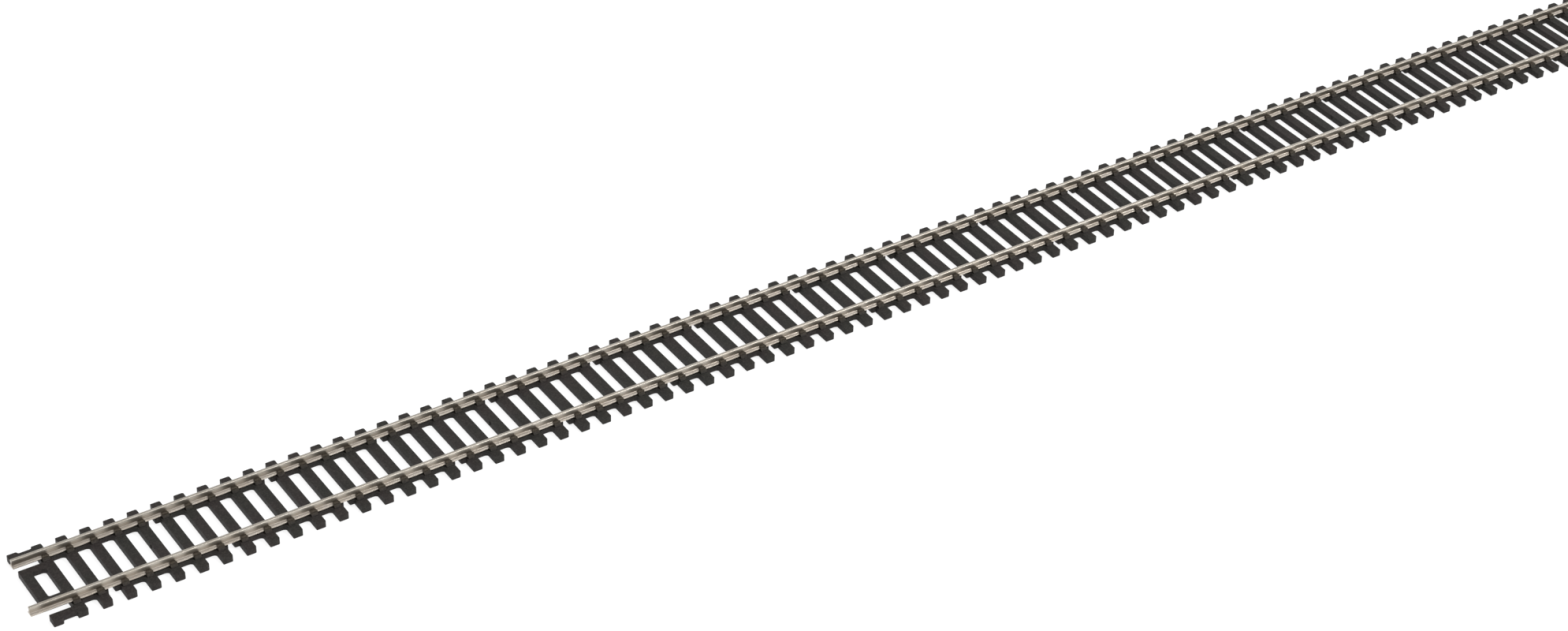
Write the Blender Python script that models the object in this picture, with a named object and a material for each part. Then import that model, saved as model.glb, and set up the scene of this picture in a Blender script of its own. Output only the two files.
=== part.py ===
"""Flexible model railway track section in its own frame, in metres.

One moulded sleeper base carries two flat-bottomed rails, which slide along it one by one.
The origin is on the base plane, under the middle of the section. +X runs along the track,
+Y from the front rail to the back rail, and +Z points up.
"""
import math

import bmesh
import bpy
from mathutils import Matrix, Vector

MM = 0.001

# Track
GAUGE = 16.5 * MM
SECTION_LENGTH = 914.4 * MM
FRONT_RAIL_SHIFT = -1.5 * MM
BACK_RAIL_SHIFT = 1.5 * MM

# Rail section, flat-bottomed
RAIL_HEIGHT = 2.11 * MM
HEAD_WIDTH = 0.9 * MM
HEAD_DEPTH = 0.55 * MM
HEAD_RADIUS = 0.16 * MM
HEAD_ARC_STEPS = 4
WEB_THICKNESS = 0.5 * MM
FOOT_WIDTH = 1.95 * MM
FOOT_EDGE = 0.25 * MM
FOOT_RISE = 0.22 * MM
NECK_DROP = 0.1 * MM
RAIL_Y = (GAUGE + HEAD_WIDTH) / 2

# Sleepers
SLEEPER_COUNT = 154
SLEEPER_WIDTH = 2.5 * MM
SLEEPER_LENGTH = 27.1 * MM
SLEEPER_HEIGHT = 1.65 * MM
RAIL_OVERHANG = 2.2 * MM
RAIL_SEAT = 0.25 * MM
RAIL_BASE_Z = SLEEPER_HEIGHT + RAIL_SEAT
PITCH = (SECTION_LENGTH - 2 * RAIL_OVERHANG - SLEEPER_WIDTH) / (SLEEPER_COUNT - 1)

# Bars that join the sleepers under each rail. Every fifth one is left out, so that the strip
# bends, and each gap keeps two short stubs of bar.
BAR_WIDTH = 2.1 * MM
BAR_DEPTH = 1.3 * MM
GAP_EVERY = 5
FRONT_FIRST_GAP = 2
BACK_FIRST_GAP = 5
STUB_BEFORE_GAP = 0.6 * MM
STUB_AFTER_GAP = 1.3 * MM

# End sleepers, cut away under the rails to leave room for rail joiners
CUT_INNER_Y = 6.9 * MM
CUT_OUTER_Y = 10.8 * MM
END_BAR_WIDTH = 2.05 * MM

# Chairs, the lugs that grip the rail foot
CHAIR_EVERY = 5
FIRST_CHAIR = 4
CHAIR_LENGTH = 1.7 * MM
CHAIR_ROOT = 0.5 * MM
CHAIR_OUTER = 2.0 * MM
CHAIR_SHOULDER = 1.2 * MM
CHAIR_TOP_Z = 2.85 * MM
CHAIR_SHOULDER_Z = 2.35 * MM
LIP_REACH = 0.6 * MM
LIP_UNDER_Z = 2.55 * MM
FOOT_CLEARANCE = 0.3 * MM

# Finishes
PLASTIC_COLOUR = (0.03, 0.028, 0.026)
PLASTIC_ROUGHNESS = 0.6
METAL_COLOUR = (0.52, 0.47, 0.41)
METAL_ROUGHNESS = 0.35


def clear_scene():
    for item in list(bpy.data.objects):
        bpy.data.objects.remove(item, do_unlink=True)


def make_material(name, colour, roughness, metallic):
    material = bpy.data.materials.new(name)
    material.use_nodes = True
    shader = material.node_tree.nodes["Principled BSDF"]
    shader.inputs["Base Color"].default_value = (*colour, 1.0)
    shader.inputs["Roughness"].default_value = roughness
    shader.inputs["Metallic"].default_value = metallic
    material.diffuse_color = (*colour, 1.0)
    return material


def make_object(name, mesh_data, material):
    mesh = bpy.data.meshes.new(name)
    bmesh.ops.recalc_face_normals(mesh_data, faces=mesh_data.faces)
    mesh_data.to_mesh(mesh)
    mesh_data.free()
    mesh.materials.append(material)
    item = bpy.data.objects.new(name, mesh)
    bpy.context.scene.collection.objects.link(item)
    return item


def make_guide(name, mesh_data, material):
    """A shape that only feeds a Boolean."""
    item = make_object(name, mesh_data, material)
    item.hide_render = True
    item.display_type = "WIRE"
    return item


def add_box(mesh_data, low, high):
    centre = (Vector(low) + Vector(high)) / 2
    size = Vector(high) - Vector(low)
    place = Matrix.Translation(centre) @ Matrix.Diagonal((*size, 1.0))
    bmesh.ops.create_cube(mesh_data, size=1.0, matrix=place)


def add_prism(mesh_data, outline, x_start, x_end):
    """Extrude a closed YZ outline along X."""
    near = [mesh_data.verts.new((x_start, y, z)) for y, z in outline]
    far = [mesh_data.verts.new((x_end, y, z)) for y, z in outline]
    mesh_data.faces.new(near)
    mesh_data.faces.new(list(reversed(far)))
    for index in range(len(outline)):
        after = (index + 1) % len(outline)
        mesh_data.faces.new((near[index], far[index], far[after], near[after]))


def sleeper_x(index):
    return (index - (SLEEPER_COUNT - 1) / 2) * PITCH


def rail_outline():
    """The rail's section, from the foot's underside at z = 0 to the running surface."""
    head_half = HEAD_WIDTH / 2
    web_half = WEB_THICKNESS / 2
    foot_half = FOOT_WIDTH / 2
    head_under = RAIL_HEIGHT - HEAD_DEPTH
    half = [
        (foot_half, 0.0),
        (foot_half, FOOT_EDGE),
        (web_half, FOOT_EDGE + FOOT_RISE),
        (web_half, head_under - NECK_DROP),
        (head_half, head_under),
    ]
    for step in range(HEAD_ARC_STEPS + 1):
        angle = math.pi / 2 * step / HEAD_ARC_STEPS
        y = head_half - HEAD_RADIUS * (1 - math.cos(angle))
        z = RAIL_HEIGHT - HEAD_RADIUS * (1 - math.sin(angle))
        half.append((y, z))
    return half + [(-y, z) for y, z in reversed(half)]


def make_rail(name, y, shift, material):
    mesh_data = bmesh.new()
    add_prism(mesh_data, rail_outline(), -SECTION_LENGTH / 2, SECTION_LENGTH / 2)
    rail = make_object(name, mesh_data, material)
    rail.location = (shift, y, RAIL_BASE_Z)
    return rail


def add_end_sleeper(mesh_data, index):
    """A sleeper in three pieces, with nothing under the rails."""
    half_width = SLEEPER_WIDTH / 2
    half_length = SLEEPER_LENGTH / 2
    x = sleeper_x(index)
    for y_low, y_high in (
        (-half_length, -CUT_OUTER_Y),
        (-CUT_INNER_Y, CUT_INNER_Y),
        (CUT_OUTER_Y, half_length),
    ):
        add_box(
            mesh_data,
            (x - half_width, y_low, 0.0),
            (x + half_width, y_high, SLEEPER_HEIGHT),
        )


def sleepers():
    mesh_data = bmesh.new()
    half_width = SLEEPER_WIDTH / 2
    half_length = SLEEPER_LENGTH / 2
    for index in range(1, SLEEPER_COUNT - 1):
        x = sleeper_x(index)
        add_box(
            mesh_data,
            (x - half_width, -half_length, 0.0),
            (x + half_width, half_length, SLEEPER_HEIGHT),
        )
    add_end_sleeper(mesh_data, 0)
    add_end_sleeper(mesh_data, SLEEPER_COUNT - 1)
    return mesh_data


def bar_runs(first_gap):
    """First and last sleeper of each unbroken run of bars; a gap follows each run."""
    last = SLEEPER_COUNT - 2
    start = 1
    runs = []
    for before_gap in range(first_gap, last, GAP_EVERY):
        runs.append((start, before_gap))
        start = before_gap + 1
    runs.append((start, last))
    return runs


def add_bars(mesh_data, y, first_gap):
    reach = SLEEPER_WIDTH / 2
    last = SLEEPER_COUNT - 2
    for first, final in bar_runs(first_gap):
        x_low = sleeper_x(first)
        x_high = sleeper_x(final)
        if first > 1:
            x_low -= reach + STUB_AFTER_GAP
        if final < last:
            x_high += reach + STUB_BEFORE_GAP
        add_box(
            mesh_data,
            (x_low, y - BAR_WIDTH / 2, SLEEPER_HEIGHT - BAR_DEPTH),
            (x_high, y + BAR_WIDTH / 2, SLEEPER_HEIGHT),
        )


def add_end_bars(mesh_data, end_index, next_index):
    """Bars beside each cut, from the end sleeper's pieces to the next sleeper."""
    x_low, x_high = sorted((sleeper_x(end_index), sleeper_x(next_index)))
    for side in (-1, 1):
        for y_inner in (CUT_INNER_Y - END_BAR_WIDTH, CUT_OUTER_Y):
            y_low, y_high = sorted((side * y_inner, side * (y_inner + END_BAR_WIDTH)))
            add_box(
                mesh_data,
                (x_low, y_low, SLEEPER_HEIGHT - BAR_DEPTH),
                (x_high, y_high, SLEEPER_HEIGHT),
            )


def bars():
    mesh_data = bmesh.new()
    add_bars(mesh_data, -RAIL_Y, FRONT_FIRST_GAP)
    add_bars(mesh_data, RAIL_Y, BACK_FIRST_GAP)
    add_end_bars(mesh_data, 0, 1)
    add_end_bars(mesh_data, SLEEPER_COUNT - 1, SLEEPER_COUNT - 2)
    return mesh_data


def chair_outline(y, side):
    """A lug beside the foot, with a lip over it. side is -1 or +1, away from the rail."""
    inner = FOOT_WIDTH / 2 + FOOT_CLEARANCE
    root_z = SLEEPER_HEIGHT - CHAIR_ROOT
    outline = [
        (inner, root_z),
        (CHAIR_OUTER, root_z),
        (CHAIR_OUTER, CHAIR_SHOULDER_Z),
        (CHAIR_SHOULDER, CHAIR_TOP_Z),
        (LIP_REACH, CHAIR_TOP_Z),
        (LIP_REACH, LIP_UNDER_Z),
        (inner, LIP_UNDER_Z),
    ]
    return [(y + side * offset, z) for offset, z in outline]


def chairs():
    mesh_data = bmesh.new()
    last = SLEEPER_COUNT - 2
    indices = [1, *range(FIRST_CHAIR, last, CHAIR_EVERY), last]
    for index in indices:
        x = sleeper_x(index)
        for rail_y in (-RAIL_Y, RAIL_Y):
            for side in (-1, 1):
                add_prism(
                    mesh_data,
                    chair_outline(rail_y, side),
                    x - CHAIR_LENGTH / 2,
                    x + CHAIR_LENGTH / 2,
                )
    return mesh_data


def join_with(item, guide):
    modifier = item.modifiers.new("join_" + guide.name, "BOOLEAN")
    modifier.operation = "UNION"
    modifier.solver = "EXACT"
    modifier.object = guide


def main():
    clear_scene()
    plastic = make_material("charcoal_plastic", PLASTIC_COLOUR, PLASTIC_ROUGHNESS, 0.0)
    metal = make_material("rail_metal", METAL_COLOUR, METAL_ROUGHNESS, 1.0)
    base = make_object("sleeper_base", sleepers(), plastic)
    join_with(base, make_guide("guide_bars", bars(), plastic))
    join_with(base, make_guide("guide_chairs", chairs(), plastic))
    make_rail("front_rail", -RAIL_Y, FRONT_RAIL_SHIFT, metal)
    make_rail("back_rail", RAIL_Y, BACK_RAIL_SHIFT, metal)


main()
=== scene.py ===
"""The looks of a flexible model railway track section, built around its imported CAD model.

The CAD base and rails are replaced by finer meshes of the same size: a moulded strip with
rounded sleepers, chairs, bars and stubs, and two rails with their full drawn section.
"""
import math

import bmesh
import bpy
from mathutils import Matrix, Vector


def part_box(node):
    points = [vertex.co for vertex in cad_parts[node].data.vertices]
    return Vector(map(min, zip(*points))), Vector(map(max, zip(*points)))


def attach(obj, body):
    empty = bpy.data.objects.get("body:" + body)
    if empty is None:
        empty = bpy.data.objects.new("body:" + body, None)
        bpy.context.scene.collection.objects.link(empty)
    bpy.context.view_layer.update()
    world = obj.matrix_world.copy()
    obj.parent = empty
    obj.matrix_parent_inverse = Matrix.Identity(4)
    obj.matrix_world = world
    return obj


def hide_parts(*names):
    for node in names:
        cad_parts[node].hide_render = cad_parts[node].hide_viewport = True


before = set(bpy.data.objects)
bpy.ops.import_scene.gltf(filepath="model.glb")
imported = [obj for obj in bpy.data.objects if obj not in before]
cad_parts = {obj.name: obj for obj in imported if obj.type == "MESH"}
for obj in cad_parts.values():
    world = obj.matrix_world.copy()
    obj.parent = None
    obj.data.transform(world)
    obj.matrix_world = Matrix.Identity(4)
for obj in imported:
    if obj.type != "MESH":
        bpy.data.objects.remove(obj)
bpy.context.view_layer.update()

MM = 0.001

# Sleepers and bars, in step with the CAD model
SLEEPER_COUNT = 154
SLEEPER_WIDTH = 2.5 * MM
SLEEPER_HEIGHT = 1.65 * MM
SLEEPER_CORNER_LEFT = 0.14 * MM
SLEEPER_CORNER_RIGHT = 0.42 * MM
BAR_WIDTH = 2.1 * MM
BAR_DEPTH = 1.3 * MM
BAR_FILLET_LEFT = 0.45 * MM
BAR_FILLET_RIGHT = 1.05 * MM
BARS_PER_REPEAT = 5
FRONT_GAP_PLACE = 2
BACK_GAP_PLACE = 0
STUB_BEFORE_GAP = 0.6 * MM
STUB_AFTER_GAP = 1.3 * MM
STUB_CORNER = 0.35 * MM
CORNER_STEPS = 4

# Moulding nibs, on the left side of every third block's second sleeper
NIB_LENGTH = 0.25 * MM
NIB_WIDTH = 0.5 * MM
NIB_CORNER = 0.2 * MM
NIB_FROM = 0.4 * SLEEPER_HEIGHT
NIB_UP_TO = 0.85 * SLEEPER_HEIGHT
NIB_EVERY = 3

# End sleepers, cut away for rail joiners
CUT_INNER_Y = 6.9 * MM
CUT_OUTER_Y = 10.8 * MM
END_BAR_WIDTH = 2.05 * MM
END_BAR_FILLET_OUTER = 0.5 * MM

# Chairs
CHAIR_HALF_LENGTH = 0.87 * MM
CHAIR_OUTER = 1.9 * MM
CHAIR_SHOULDER = 1.5 * MM
CHAIR_SHOULDER_HEIGHT = 0.4 * MM
CHAIR_SKIRT_HEIGHT = 0.1 * MM
CHAIR_SKIRT_SLOPE = 0.05 * MM
JAW_THICKNESS = 0.15 * MM
NOSE_SHOULDER_DROP = 0.12 * MM
NOSE_TAPER = 0.28
NOSE_REACH = 0.4 * MM
NOSE_HEIGHT = 0.36 * MM
NOSE_ROOT = 1.25 * MM
SEAT_HALF_WIDTH = 1.2 * MM
SEAT_GAP = 0.03 * MM
ROOT_DEPTH = 0.3 * MM

# Rail section
RAIL_HEIGHT = 2.11 * MM
HEAD_WIDTH = 0.9 * MM
HEAD_DEPTH = 0.55 * MM
HEAD_RADIUS = 0.17 * MM
WEB_THICKNESS = 0.5 * MM
FOOT_WIDTH = 1.95 * MM
FOOT_EDGE = 0.25 * MM
FOOT_RISE = 0.22 * MM
NECK_DROP = 0.1 * MM
ROOT_FILLET = 0.18 * MM
FOOT_ROUND = 0.06 * MM
FOOT_STEPS = 3
ROOT_STEPS = 5
HEAD_STEPS = 6
RAIL_SPANS = 96

# Edges of the moulding, and the angles below which shading runs smooth
EDGE_BEVEL = 0.09 * MM
EDGE_BEVEL_FROM_Z = 0.5 * MM
EDGE_ANGLE = 40.0
MOULDING_SMOOTH_ANGLE = 30.0
RAIL_SMOOTH_ANGLE = 32.0
WELD = 0.0005 * MM

# Chairs turn from charcoal to brown over this height above the sleepers, a painted warm
# light bounced from the rails
BOUNCE_TINT_OVER = 1.0 * MM
PLASTIC_GRAIN_DEPTH = 0.06 * MM
METAL_STREAK_DEPTH = 0.01 * MM

FLOOR_SIZE = 12.0
FLOOR_DROP = 0.02 * MM

# Camera, aimed at a point on the track this far from the first sleeper
AIM_FROM_FIRST_SLEEPER = 202.19 * MM
AIM_Y = -0.38 * MM
CAMERA_DISTANCE = 856.4 * MM
CAMERA_AZIMUTH = 34.11
CAMERA_ELEVATION = 35.68
CAMERA_ROLL = 1.60
CAMERA_LENS = 77.63
CAMERA_SENSOR = 36.0
CAMERA_CLIP_START = 0.01

# Light
SKY_DIM = 0.55
SKY_BRIGHT = 0.85
SKY_DIM_UP_TO = 0.1
SKY_BRIGHT_FROM = 0.65
KEY_STRENGTH = 1.2
KEY_SPREAD = 12.0
KEY_FROM = (0.65, -0.6, 0.9)
FILL_STRENGTH = 0.6
FILL_SPREAD = 16.0
FILL_FROM = (0.36, 0.24, 0.88)


# ---------------------------------------------------------------- meshes

def arc(centre, radius, start, end, steps):
    """Points on an arc in a plane, angles in degrees."""
    points = []
    for step in range(steps + 1):
        angle = math.radians(start + (end - start) * step / steps)
        points.append(
            (centre[0] + radius * math.cos(angle), centre[1] + radius * math.sin(angle))
        )
    return points


def object_from(name, mesh_data):
    mesh = bpy.data.meshes.new(name)
    mesh_data.to_mesh(mesh)
    mesh_data.free()
    item = bpy.data.objects.new(name, mesh)
    bpy.context.scene.collection.objects.link(item)
    return item


def add_upright(mesh_data, outline, z_low, z_high):
    """Extrude a closed XY outline, given anticlockwise, from z_low to z_high."""
    low = [mesh_data.verts.new((x, y, z_low)) for x, y in outline]
    high = [mesh_data.verts.new((x, y, z_high)) for x, y in outline]
    join_loops(mesh_data, low, high)
    mesh_data.faces.new(list(reversed(low)))
    mesh_data.faces.new(high)


def add_lengthwise(mesh_data, outline, x_low, x_high):
    """Extrude a closed YZ outline along X."""
    if signed_area(outline) < 0:
        outline = list(reversed(outline))
    low = [mesh_data.verts.new((x_low, y, z)) for y, z in outline]
    high = [mesh_data.verts.new((x_high, y, z)) for y, z in outline]
    join_loops(mesh_data, low, high)
    mesh_data.faces.new(list(reversed(low)))
    mesh_data.faces.new(high)


def join_loops(mesh_data, low, high):
    for index in range(len(low)):
        after = (index + 1) % len(low)
        mesh_data.faces.new((low[index], low[after], high[after], high[index]))


def signed_area(outline):
    total = 0.0
    for (x_a, y_a), (x_b, y_b) in zip(outline, outline[1:] + outline[:1]):
        total += x_a * y_b - x_b * y_a
    return total / 2


def rounded_rectangle(x_low, x_high, y_low, y_high, left, right):
    """An outline whose left and right corners have their own radii."""
    coarse = CORNER_STEPS // 2
    return (
        arc((x_high - right, y_high - right), right, 0, 90, CORNER_STEPS)
        + arc((x_low + left, y_high - left), left, 90, 180, coarse)
        + arc((x_low + left, y_low + left), left, 180, 270, coarse)
        + arc((x_high - right, y_low + right), right, 270, 360, CORNER_STEPS)
    )


def sleeper_outline(x_low, x_high, y_low, y_high):
    """Nearly square corners on the left side, well rounded ones on the right."""
    return rounded_rectangle(
        x_low, x_high, y_low, y_high, SLEEPER_CORNER_LEFT, SLEEPER_CORNER_RIGHT
    )


# ---------------------------------------------------------------- moulded strip

class Strip:
    """Measures of the moulded strip, taken from the frame."""

    def __init__(self):
        low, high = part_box("sleeper_base")
        front_low, front_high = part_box("front_rail")
        back_low, back_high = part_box("back_rail")
        self.half_length = high.y
        self.first_x = low.x + SLEEPER_WIDTH / 2
        last_x = high.x - SLEEPER_WIDTH / 2
        self.pitch = (last_x - self.first_x) / (SLEEPER_COUNT - 1)
        self.rail_z = front_low.z
        self.front_y = (front_low.y + front_high.y) / 2
        self.back_y = (back_low.y + back_high.y) / 2

    def sleeper_x(self, index):
        return self.first_x + index * self.pitch


def is_gap(bay, place, last_bay):
    """True where the bar between sleepers bay and bay + 1 is left out."""
    return 0 < bay < last_bay and bay % BARS_PER_REPEAT == place


def fillet_flare(x_face, direction, edge_y, side, radius):
    """The concave corner from a sleeper's face at x_face to a bar's edge, in order."""
    if radius == 0:
        return [(x_face, edge_y)]
    points = []
    for step in range(CORNER_STEPS + 1):
        angle = math.radians(90 * step / CORNER_STEPS)
        x = x_face + direction * radius * (1 - math.cos(angle))
        points.append((x, edge_y + side * radius * (1 - math.sin(angle))))
    return points


def bar_edge(x_left, x_right, edge_y, side, radius_left, radius_right):
    """One long edge of a bar, from inside the left sleeper to inside the right one."""
    into = SLEEPER_WIDTH / 4
    return (
        [(x_left - into, edge_y + side * radius_left)]
        + fillet_flare(x_left, 1, edge_y, side, radius_left)
        + fillet_flare(x_right, -1, edge_y, side, radius_right)[::-1]
        + [(x_right + into, edge_y + side * radius_right)]
    )


def bar_outline(x_left, x_right, y_low, y_high, radii_low, radii_high):
    """A bar between two sleepers' faces, with a left and a right fillet on each edge."""
    low = bar_edge(x_left, x_right, y_low, -1, *radii_low)
    high = bar_edge(x_left, x_right, y_high, 1, *radii_high)
    return low + high[::-1]


def stub_bar(x_face, direction, y, length):
    """A short end of bar that stands out from a sleeper's face into a gap."""
    into = SLEEPER_WIDTH / 4
    half = BAR_WIDTH / 2
    corner = min(STUB_CORNER, length / 2)
    tip = x_face + direction * length
    outline = [(x_face - direction * into, y - half)]
    for step in range(CORNER_STEPS + 1):
        angle = math.radians(90 * step / CORNER_STEPS)
        x = tip - direction * corner * (1 - math.sin(angle))
        outline.append((x, y - half + corner * (1 - math.cos(angle))))
    for step in range(CORNER_STEPS + 1):
        angle = math.radians(90 * step / CORNER_STEPS)
        x = tip - direction * corner * (1 - math.cos(angle))
        outline.append((x, y + half - corner * (1 - math.sin(angle))))
    outline.append((x_face - direction * into, y + half))
    return outline if direction > 0 else outline[::-1]


def seat_outline(strip, y):
    """The thin pad that carries the foot."""
    low = SLEEPER_HEIGHT - ROOT_DEPTH
    high = strip.rail_z - SEAT_GAP
    return [
        (y - SEAT_HALF_WIDTH, low),
        (y + SEAT_HALF_WIDTH, low),
        (y + SEAT_HALF_WIDTH, high),
        (y - SEAT_HALF_WIDTH, high),
    ]


def foot_clear_z(strip, offset):
    """Just above the foot's top, at this distance from the rail's middle."""
    slope = FOOT_RISE / (FOOT_WIDTH / 2 - WEB_THICKNESS / 2)
    inside = max(FOOT_WIDTH / 2 - offset, 0.0)
    return strip.rail_z + FOOT_EDGE + SEAT_GAP + slope * inside


def jaw_outline(strip, y, side):
    """The block of a chair that stands beside the foot."""
    inner = FOOT_WIDTH / 2 + SEAT_GAP
    root_z = SLEEPER_HEIGHT - ROOT_DEPTH
    top_z = foot_clear_z(strip, inner) + NOSE_HEIGHT
    shape = [
        (inner, root_z),
        (CHAIR_OUTER, root_z),
        (CHAIR_OUTER - CHAIR_SKIRT_SLOPE, SLEEPER_HEIGHT + CHAIR_SKIRT_HEIGHT),
        (CHAIR_SHOULDER, SLEEPER_HEIGHT + CHAIR_SHOULDER_HEIGHT),
        (inner + JAW_THICKNESS, top_z),
        (inner, top_z),
    ]
    return [(y + side * offset, z) for offset, z in shape]


def nose_outline(strip, y, side):
    """The nose of a chair, which laps over the foot towards the web."""
    edge = FOOT_WIDTH / 2 + SEAT_GAP
    tip_z = foot_clear_z(strip, NOSE_REACH)
    top_z = tip_z + NOSE_HEIGHT
    shape = [
        (NOSE_ROOT, foot_clear_z(strip, edge)),
        (NOSE_ROOT, top_z - NOSE_SHOULDER_DROP),
        (edge, top_z),
        (NOSE_REACH, top_z),
        (NOSE_REACH, tip_z),
        (edge, foot_clear_z(strip, edge)),
    ]
    return [(y + side * offset, z) for offset, z in shape]


def add_nose(mesh_data, strip, x, y, side):
    """A nose that narrows towards its tip."""
    outline = nose_outline(strip, y, side)
    if signed_area(outline) < 0:
        outline = outline[::-1]
    low, high = [], []
    for point_y, z in outline:
        half = CHAIR_HALF_LENGTH - NOSE_TAPER * (NOSE_ROOT - abs(point_y - y))
        low.append(mesh_data.verts.new((x - half, point_y, z)))
        high.append(mesh_data.verts.new((x + half, point_y, z)))
    join_loops(mesh_data, low, high)
    mesh_data.faces.new(list(reversed(low)))
    mesh_data.faces.new(high)


def chair_layers(strip, xs):
    """Pads, jaws and noses of the chairs on the sleepers at xs, as three sets of solids."""
    pads, jaws, noses = bmesh.new(), bmesh.new(), bmesh.new()
    for x in xs:
        span = (x - CHAIR_HALF_LENGTH, x + CHAIR_HALF_LENGTH)
        for y in (strip.front_y, strip.back_y):
            add_lengthwise(pads, seat_outline(strip, y), *span)
            for side in (-1, 1):
                add_lengthwise(jaws, jaw_outline(strip, y, side), *span)
                add_nose(noses, strip, x, y, side)
    return [pads, jaws, noses]


def add_sleeper(mesh_data, strip, index):
    x = strip.sleeper_x(index)
    span = (x - SLEEPER_WIDTH / 2, x + SLEEPER_WIDTH / 2)
    outline = sleeper_outline(*span, -strip.half_length, strip.half_length)
    add_upright(mesh_data, outline, 0.0, SLEEPER_HEIGHT)


def add_cut_sleeper(mesh_data, strip, index):
    """An end sleeper: a middle and two outer pieces, with nothing under the rails."""
    x = strip.sleeper_x(index)
    span = (x - SLEEPER_WIDTH / 2, x + SLEEPER_WIDTH / 2)
    for y_low, y_high in (
        (-strip.half_length, -CUT_OUTER_Y),
        (-CUT_INNER_Y, CUT_INNER_Y),
        (CUT_OUTER_Y, strip.half_length),
    ):
        outline = sleeper_outline(*span, y_low, y_high)
        add_upright(mesh_data, outline, 0.0, SLEEPER_HEIGHT)


def add_end_bars(mesh_data, strip, bay):
    """Bars beside the cuts, filleted except where a cut sleeper ends at the rail."""
    x_left = strip.sleeper_x(bay) + SLEEPER_WIDTH / 2
    x_right = strip.sleeper_x(bay + 1) - SLEEPER_WIDTH / 2
    cut_on_left = bay == 0
    for side in (-1, 1):
        for inner_y, far_radius in (
            (CUT_INNER_Y - END_BAR_WIDTH, BAR_FILLET_RIGHT),
            (CUT_OUTER_Y, END_BAR_FILLET_OUTER),
        ):
            at_cut = {"far": BAR_FILLET_LEFT, "rail": 0.0}
            at_full = {"far": far_radius, "rail": BAR_FILLET_LEFT}
            left, right = (at_cut, at_full) if cut_on_left else (at_full, at_cut)
            rail_is_low = (inner_y == CUT_OUTER_Y) == (side > 0)
            low_edge, high_edge = ("rail", "far") if rail_is_low else ("far", "rail")
            y_low, y_high = sorted((side * inner_y, side * (inner_y + END_BAR_WIDTH)))
            outline = bar_outline(
                x_left, x_right, y_low, y_high,
                (left[low_edge], right[low_edge]),
                (left[high_edge], right[high_edge]),
            )
            add_upright(mesh_data, outline, SLEEPER_HEIGHT - BAR_DEPTH, SLEEPER_HEIGHT)


def add_bay(mesh_data, strip, bay):
    """The bars, or the stubs of a gap, between sleepers bay and bay + 1."""
    last_bay = SLEEPER_COUNT - 2
    x_left = strip.sleeper_x(bay) + SLEEPER_WIDTH / 2
    x_right = strip.sleeper_x(bay + 1) - SLEEPER_WIDTH / 2
    z_low = SLEEPER_HEIGHT - BAR_DEPTH
    half = BAR_WIDTH / 2
    radii = (BAR_FILLET_LEFT, BAR_FILLET_RIGHT)
    for y, place in ((strip.front_y, FRONT_GAP_PLACE), (strip.back_y, BACK_GAP_PLACE)):
        if is_gap(bay, place, last_bay):
            before = stub_bar(x_left, 1, y, STUB_BEFORE_GAP)
            after = stub_bar(x_right, -1, y, STUB_AFTER_GAP)
            add_upright(mesh_data, before, z_low, SLEEPER_HEIGHT)
            add_upright(mesh_data, after, z_low, SLEEPER_HEIGHT)
        else:
            outline = bar_outline(x_left, x_right, y - half, y + half, radii, radii)
            add_upright(mesh_data, outline, z_low, SLEEPER_HEIGHT)


def add_nib(mesh_data, strip, index):
    """The mark left where the plastic was let into the mould."""
    face_x = strip.sleeper_x(index) - SLEEPER_WIDTH / 2
    half = NIB_WIDTH / 2
    outline = rounded_rectangle(
        face_x - NIB_LENGTH, face_x + NIB_WIDTH, -half, half, NIB_CORNER, NIB_CORNER
    )
    add_upright(mesh_data, outline, NIB_FROM, NIB_UP_TO)


def united(name, base_data, layers):
    """One closed, bevelled body from a set of solids and the sets that join it."""
    base = object_from(name, base_data)
    guides = []
    for number, layer in enumerate(layers):
        guide = object_from(f"{name}_layer{number}", layer)
        guides.append(guide)
        union = base.modifiers.new(guide.name, "BOOLEAN")
        union.operation = "UNION"
        union.solver = "EXACT"
        union.object = guide
    bpy.context.view_layer.update()
    depsgraph = bpy.context.evaluated_depsgraph_get()
    result = bmesh.new()
    result.from_mesh(base.evaluated_get(depsgraph).to_mesh())
    soften_edges(result)
    for item in [base, *guides]:
        bpy.data.objects.remove(item, do_unlink=True)
    return result


def soften_edges(mesh_data):
    """A small bevel on every sharp edge apart from those near the underside."""
    sharp = []
    for edge in mesh_data.edges:
        height = (edge.verts[0].co.z + edge.verts[1].co.z) / 2
        if height < EDGE_BEVEL_FROM_Z or not edge.is_manifold:
            continue
        if edge.calc_face_angle() > math.radians(EDGE_ANGLE):
            sharp.append(edge)
    bmesh.ops.bevel(
        mesh_data,
        geom=sharp,
        offset=EDGE_BEVEL,
        offset_type="OFFSET",
        segments=1,
        profile=0.5,
        affect="EDGES",
        clamp_overlap=True,
    )


def block(strip, first, final, nib=False):
    """Sleepers first to final, cut in mid-bay on each side that goes on."""
    last = SLEEPER_COUNT - 1
    sleepers, bars = bmesh.new(), bmesh.new()
    chair_xs = []
    overlap = 1
    for index in range(max(first - overlap, 0), min(final + overlap, last) + 1):
        if index in (0, last):
            add_cut_sleeper(sleepers, strip, index)
        else:
            add_sleeper(sleepers, strip, index)
            chair_xs.append(strip.sleeper_x(index))
    for bay in range(max(first - overlap, 0), min(final + overlap, last)):
        if bay in (0, last - 1):
            add_end_bars(bars, strip, bay)
        else:
            add_bay(bars, strip, bay)
    if nib:
        add_nib(bars, strip, first + 1)
    result = united("block", sleepers, [bars, *chair_layers(strip, chair_xs)])
    half_pitch = strip.pitch / 2
    if first > 0:
        cut_off(result, strip.sleeper_x(first) - half_pitch, -1)
    if final < last:
        cut_off(result, strip.sleeper_x(final) + half_pitch, 1)
    return result


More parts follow.
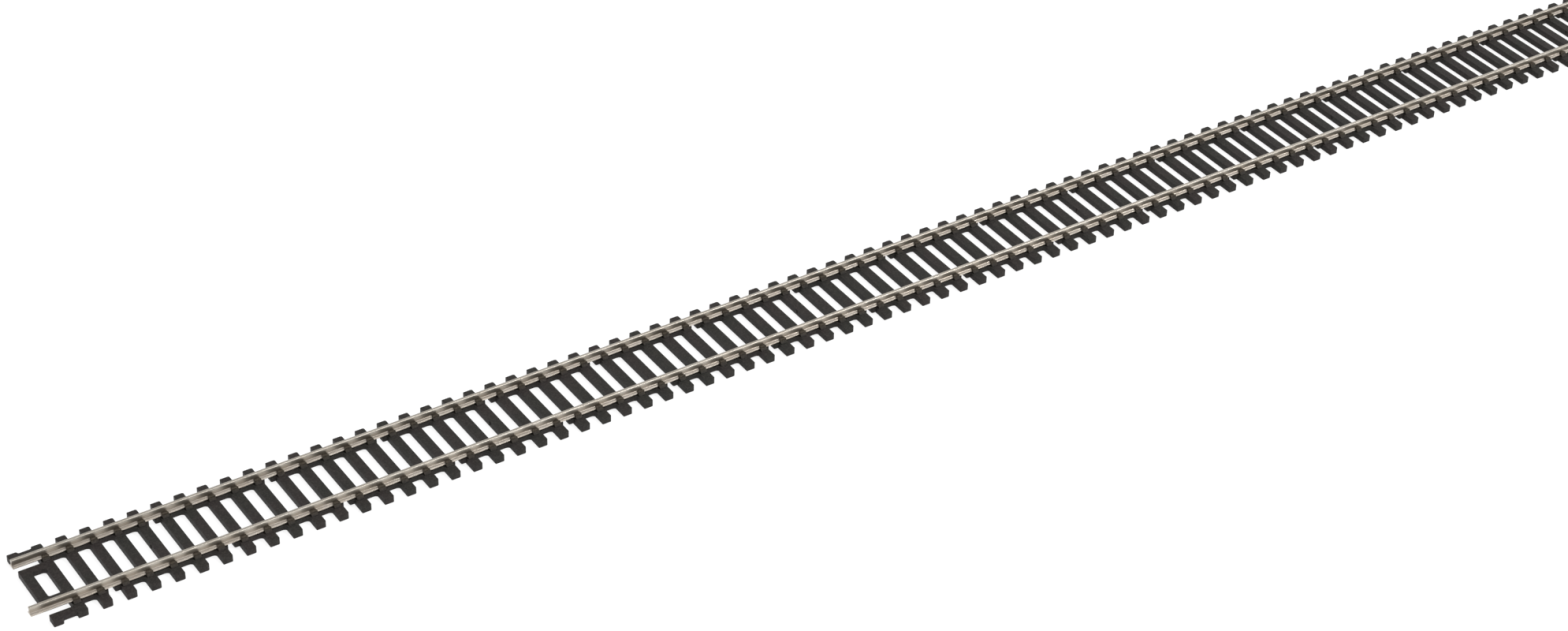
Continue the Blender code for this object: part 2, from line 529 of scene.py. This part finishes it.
def cut_off(mesh_data, x, direction):
    """Remove everything beyond x on the side that direction names, leaving it open."""
    bmesh.ops.bisect_plane(
        mesh_data,
        geom=mesh_data.verts[:] + mesh_data.edges[:] + mesh_data.faces[:],
        dist=WELD,
        plane_co=(x, 0.0, 0.0),
        plane_no=(direction, 0.0, 0.0),
        clear_outer=True,
    )


def append_copy(target, source, shift):
    """Copy one mesh into another, moved along X."""
    verts = [target.verts.new((v.co.x + shift, v.co.y, v.co.z)) for v in source.verts]
    source.verts.index_update()
    for face in source.faces:
        target.faces.new([verts[v.index] for v in face.verts])


def make_strip(strip):
    """The whole moulding: a start, a block of five sleepers again and again, and an end."""
    start_count = BARS_PER_REPEAT - 1
    end_first = SLEEPER_COUNT - BARS_PER_REPEAT
    start = block(strip, 0, start_count - 1)
    middle_final = start_count + BARS_PER_REPEAT - 1
    plain = block(strip, start_count, middle_final)
    marked = block(strip, start_count, middle_final, nib=True)
    end = block(strip, end_first, SLEEPER_COUNT - 1)
    whole = bmesh.new()
    append_copy(whole, start, 0.0)
    repeats = (end_first - start_count) // BARS_PER_REPEAT
    for repeat in range(repeats):
        middle = plain if repeat % NIB_EVERY else marked
        append_copy(whole, middle, repeat * BARS_PER_REPEAT * strip.pitch)
    append_copy(whole, end, 0.0)
    for part in (start, plain, marked, end):
        part.free()
    bmesh.ops.remove_doubles(whole, verts=whole.verts, dist=WELD)
    return object_from("sleeper_moulding", whole)


# ---------------------------------------------------------------- rails

def rail_half():
    """Right half of the rail's section, from the foot's underside to the running surface."""
    head_half = HEAD_WIDTH / 2
    web_half = WEB_THICKNESS / 2
    foot_half = FOOT_WIDTH / 2
    head_under = RAIL_HEIGHT - HEAD_DEPTH
    rise_angle = math.degrees(math.atan2(FOOT_RISE, foot_half - web_half))
    foot_corner = (foot_half - FOOT_ROUND, FOOT_EDGE - FOOT_ROUND)
    root = (web_half + ROOT_FILLET, FOOT_EDGE + FOOT_RISE + ROOT_FILLET)
    points = arc((foot_half - FOOT_ROUND, FOOT_ROUND), FOOT_ROUND, -90, 0, FOOT_STEPS)
    points += arc(foot_corner, FOOT_ROUND, 0, 90 - rise_angle, FOOT_STEPS)
    points += arc(root, ROOT_FILLET, 270 - rise_angle, 180, ROOT_STEPS)
    points += [(web_half, head_under - NECK_DROP), (head_half, head_under)]
    corner = (head_half - HEAD_RADIUS, RAIL_HEIGHT - HEAD_RADIUS)
    points += arc(corner, HEAD_RADIUS, 0, 90, HEAD_STEPS)
    return points


def make_rail(strip, name, node, body):
    low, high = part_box(node)
    y = (low.y + high.y) / 2
    half = rail_half()
    outline = half + [(-offset, z) for offset, z in reversed(half)]
    outline = [(y + offset, low.z + z) for offset, z in outline]
    mesh_data = bmesh.new()
    rings = []
    for span in range(RAIL_SPANS + 1):
        x = low.x + (high.x - low.x) * span / RAIL_SPANS
        rings.append([mesh_data.verts.new((x, ring_y, z)) for ring_y, z in outline])
    for ring, following in zip(rings, rings[1:]):
        join_loops(mesh_data, ring, following)
    mesh_data.faces.new(list(reversed(rings[0])))
    mesh_data.faces.new(rings[-1])
    bmesh.ops.recalc_face_normals(mesh_data, faces=mesh_data.faces)
    rail = object_from(name, mesh_data)
    rail.data.shade_smooth()
    rail.data.set_sharp_from_angle(angle=math.radians(RAIL_SMOOTH_ANGLE))
    rail.data.materials.append(rail_metal(strip))
    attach(rail, body)
    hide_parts(node)
    return rail


# ---------------------------------------------------------------- materials

def new_material(name):
    material = bpy.data.materials.new(name)
    material.use_nodes = True
    nodes = material.node_tree.nodes
    return material, nodes, material.node_tree.links, nodes["Principled BSDF"]


def stretched_coordinates(nodes, links, scale):
    """Object coordinates in millimetres, scaled per axis."""
    source = nodes.new("ShaderNodeTexCoord")
    mapping = nodes.new("ShaderNodeMapping")
    mapping.inputs["Scale"].default_value = [value / MM for value in scale]
    links.new(source.outputs["Object"], mapping.inputs["Vector"])
    return mapping.outputs["Vector"]


def noise(nodes, links, vector, scale, detail=3.0, roughness=0.55):
    node = nodes.new("ShaderNodeTexNoise")
    node.inputs["Scale"].default_value = scale
    node.inputs["Detail"].default_value = detail
    node.inputs["Roughness"].default_value = roughness
    links.new(vector, node.inputs["Vector"])
    return node.outputs["Fac"]


def ramp(nodes, links, factor, stops):
    node = nodes.new("ShaderNodeValToRGB")
    elements = node.color_ramp.elements
    while len(elements) < len(stops):
        elements.new(0.5)
    for element, (place, colour) in zip(elements, stops):
        element.position = place
        element.color = (*colour, 1.0)
    links.new(factor, node.inputs["Fac"])
    return node.outputs["Color"]


def blend_colours(nodes, links, kind, factor, first, second):
    node = nodes.new("ShaderNodeMix")
    node.data_type = "RGBA"
    node.blend_type = kind
    if isinstance(factor, float):
        node.inputs["Factor"].default_value = factor
    else:
        links.new(factor, node.inputs["Factor"])
    links.new(first, node.inputs["A"])
    links.new(second, node.inputs["B"])
    return node.outputs["Result"]


def spread(nodes, links, value, low, high):
    """Map a 0 to 1 value to a range."""
    node = nodes.new("ShaderNodeMapRange")
    node.inputs["To Min"].default_value = low
    node.inputs["To Max"].default_value = high
    links.new(value, node.inputs["Value"])
    return node.outputs["Result"]


def bump(nodes, links, height, distance, strength):
    node = nodes.new("ShaderNodeBump")
    node.inputs["Distance"].default_value = distance
    node.inputs["Strength"].default_value = strength
    links.new(height, node.inputs["Height"])
    return node.outputs["Normal"]


def sleeper_plastic():
    """Charcoal moulding: fine matt grain, warm and cool areas, and chairs tinted brown
    towards their tops as painted warm light bounced from the rails.
    """
    material, nodes, links, shader = new_material("charcoal_plastic")
    even = stretched_coordinates(nodes, links, (1.0, 1.0, 1.0))
    along = stretched_coordinates(nodes, links, (1.0, 0.12, 1.0))
    fine = noise(nodes, links, even, 2.2, 4.0, 0.6)
    grain = noise(nodes, links, along, 2.4, 4.0, 0.65)
    broad = noise(nodes, links, even, 0.11, 2.0, 0.5)
    base = ramp(nodes, links, fine, [
        (0.32, (0.010, 0.0085, 0.0075)),
        (0.5, (0.023, 0.0195, 0.017)),
        (0.66, (0.046, 0.040, 0.035)),
    ])
    tint = ramp(nodes, links, broad, [
        (0.38, (0.016, 0.0185, 0.0145)),
        (0.62, (0.027, 0.0195, 0.0195)),
    ])
    charcoal = blend_colours(nodes, links, "MIX", 0.4, base, tint)
    brown = ramp(nodes, links, fine, [
        (0.35, (0.034, 0.026, 0.017)),
        (0.65, (0.068, 0.054, 0.038)),
    ])
    # Painted bounce light: brown rises over the chairs from the sleeper tops, standing in
    # for warm light from the rails
    bounce_tint = height_between(nodes, links, SLEEPER_HEIGHT, SLEEPER_HEIGHT + BOUNCE_TINT_OVER)
    colour = blend_colours(nodes, links, "MIX", bounce_tint, charcoal, brown)
    links.new(colour, shader.inputs["Base Color"])
    shader.inputs["Specular IOR Level"].default_value = 0.23
    links.new(spread(nodes, links, grain, 0.5, 0.72), shader.inputs["Roughness"])
    links.new(bump(nodes, links, grain, PLASTIC_GRAIN_DEPTH, 0.5), shader.inputs["Normal"])
    return material


def rail_metal(strip):
    """Drawn rail: streaks along its length, a lighter head, painted shade darkening the web
    under the head, and a painted reflection brightening the foot.
    """
    name = "drawn_rail_metal"
    if name in bpy.data.materials:
        return bpy.data.materials[name]
    material, nodes, links, shader = new_material(name)
    drawn = stretched_coordinates(nodes, links, (0.02, 1.0, 1.0))
    even = stretched_coordinates(nodes, links, (1.0, 1.0, 1.0))
    streaks = noise(nodes, links, drawn, 5.0, 3.0, 0.6)
    patches = noise(nodes, links, even, 0.25, 3.0, 0.55)
    height = height_between(nodes, links, strip.rail_z, strip.rail_z + RAIL_HEIGHT)
    # Colour by height: painted shade darkens the web under the head, and a painted
    # reflection brightens the foot
    painted_shade_and_sheen_bands = ramp(nodes, links, height, [
        (0.0, (0.56, 0.51, 0.45)),
        (0.22, (0.56, 0.51, 0.45)),
        (0.36, (0.42, 0.37, 0.31)),
        (0.68, (0.38, 0.335, 0.28)),
        (0.78, (0.50, 0.46, 0.40)),
        (1.0, (0.52, 0.485, 0.43)),
    ])
    lines = ramp(nodes, links, streaks, [
        (0.3, (0.86, 0.855, 0.85)),
        (0.7, (1.0, 1.0, 1.0)),
    ])
    tarnish = ramp(nodes, links, patches, [
        (0.38, (0.90, 0.88, 0.85)),
        (0.62, (1.0, 1.0, 1.0)),
    ])
    lined = blend_colours(nodes, links, "MULTIPLY", 1.0, painted_shade_and_sheen_bands, lines)
    colour = blend_colours(nodes, links, "MULTIPLY", 1.0, lined, tarnish)
    links.new(colour, shader.inputs["Base Color"])
    shader.inputs["Metallic"].default_value = 0.82
    links.new(spread(nodes, links, streaks, 0.24, 0.38), shader.inputs["Roughness"])
    links.new(bump(nodes, links, streaks, METAL_STREAK_DEPTH, 0.4), shader.inputs["Normal"])
    return material


def height_between(nodes, links, low_z, high_z):
    """0 up to low_z, 1 from high_z up."""
    source = nodes.new("ShaderNodeTexCoord")
    split = nodes.new("ShaderNodeSeparateXYZ")
    scale = nodes.new("ShaderNodeMapRange")
    scale.inputs["From Min"].default_value = low_z
    scale.inputs["From Max"].default_value = high_z
    links.new(source.outputs["Object"], split.inputs["Vector"])
    links.new(split.outputs["Z"], scale.inputs["Value"])
    return scale.outputs["Result"]


def floor_material():
    """Pale, and partly lit from within like a light table, so that shadows stay faint."""
    material, nodes, links, shader = new_material("pale_floor")
    shader.inputs["Base Color"].default_value = (0.3, 0.3, 0.3, 1.0)
    shader.inputs["Roughness"].default_value = 0.9
    shader.inputs["Specular IOR Level"].default_value = 0.1
    shader.inputs["Emission Color"].default_value = (1.0, 1.0, 1.0, 1.0)
    shader.inputs["Emission Strength"].default_value = 0.85
    return material


# ---------------------------------------------------------------- stage

def make_floor():
    mesh_data = bmesh.new()
    bmesh.ops.create_grid(mesh_data, x_segments=1, y_segments=1, size=FLOOR_SIZE / 2)
    floor = object_from("floor", mesh_data)
    floor.location.z = -FLOOR_DROP
    floor.data.materials.append(floor_material())


def make_light():
    """Soft studio light: a white surround, brighter on the right, a soft key and a fill."""
    scene = bpy.context.scene
    world = bpy.data.worlds.new("studio")
    world.use_nodes = True
    nodes, links = world.node_tree.nodes, world.node_tree.links
    around = nodes.new("ShaderNodeTexCoord")
    split = nodes.new("ShaderNodeSeparateXYZ")
    links.new(around.outputs["Generated"], split.inputs["Vector"])
    strength = nodes.new("ShaderNodeMapRange")
    strength.inputs["From Min"].default_value = SKY_DIM_UP_TO
    strength.inputs["From Max"].default_value = SKY_BRIGHT_FROM
    strength.inputs["To Min"].default_value = SKY_DIM
    strength.inputs["To Max"].default_value = SKY_BRIGHT
    links.new(split.outputs["X"], strength.inputs["Value"])
    links.new(strength.outputs["Result"], nodes["Background"].inputs["Strength"])
    nodes["Background"].inputs["Color"].default_value = (1.0, 1.0, 1.0, 1.0)
    scene.world = world
    add_sun("key", KEY_STRENGTH, KEY_SPREAD, KEY_FROM)
    add_sun("fill", FILL_STRENGTH, FILL_SPREAD, FILL_FROM)
    scene.view_settings.view_transform = "Standard"


def add_sun(name, strength, spread_angle, direction):
    """A distant soft light that shines from this direction."""
    light = bpy.data.lights.new(name, "SUN")
    light.energy = strength
    light.angle = math.radians(spread_angle)
    lamp = bpy.data.objects.new(name, light)
    lamp.rotation_euler = Vector(direction).to_track_quat("Z", "Y").to_euler()
    bpy.context.scene.collection.objects.link(lamp)


def make_camera(strip):
    aim = Vector((strip.first_x + AIM_FROM_FIRST_SLEEPER, AIM_Y, SLEEPER_HEIGHT))
    azimuth = math.radians(CAMERA_AZIMUTH)
    elevation = math.radians(CAMERA_ELEVATION)
    forward = Vector((
        math.sin(azimuth) * math.cos(elevation),
        math.cos(azimuth) * math.cos(elevation),
        -math.sin(elevation),
    ))
    data = bpy.data.cameras.new("camera")
    data.lens = CAMERA_LENS
    data.sensor_width = CAMERA_SENSOR
    data.clip_start = CAMERA_CLIP_START
    camera = bpy.data.objects.new("camera", data)
    turn = forward.to_track_quat("-Z", "Y").to_matrix().to_4x4()
    roll = Matrix.Rotation(math.radians(CAMERA_ROLL), 4, "Z")
    place = Matrix.Translation(aim - forward * CAMERA_DISTANCE)
    camera.matrix_world = place @ turn @ roll
    bpy.context.scene.collection.objects.link(camera)
    bpy.context.scene.camera = camera


strip = Strip()
make_camera(strip)
make_floor()
make_light()

moulding = make_strip(strip)
moulding.data.shade_smooth()
moulding.data.set_sharp_from_angle(angle=math.radians(MOULDING_SMOOTH_ANGLE))
moulding.data.materials.append(sleeper_plastic())
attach(moulding, "base")
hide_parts("sleeper_base")

make_rail(strip, "front_rail_drawn", "front_rail", "front_rail")
make_rail(strip, "back_rail_drawn", "back_rail", "back_rail")
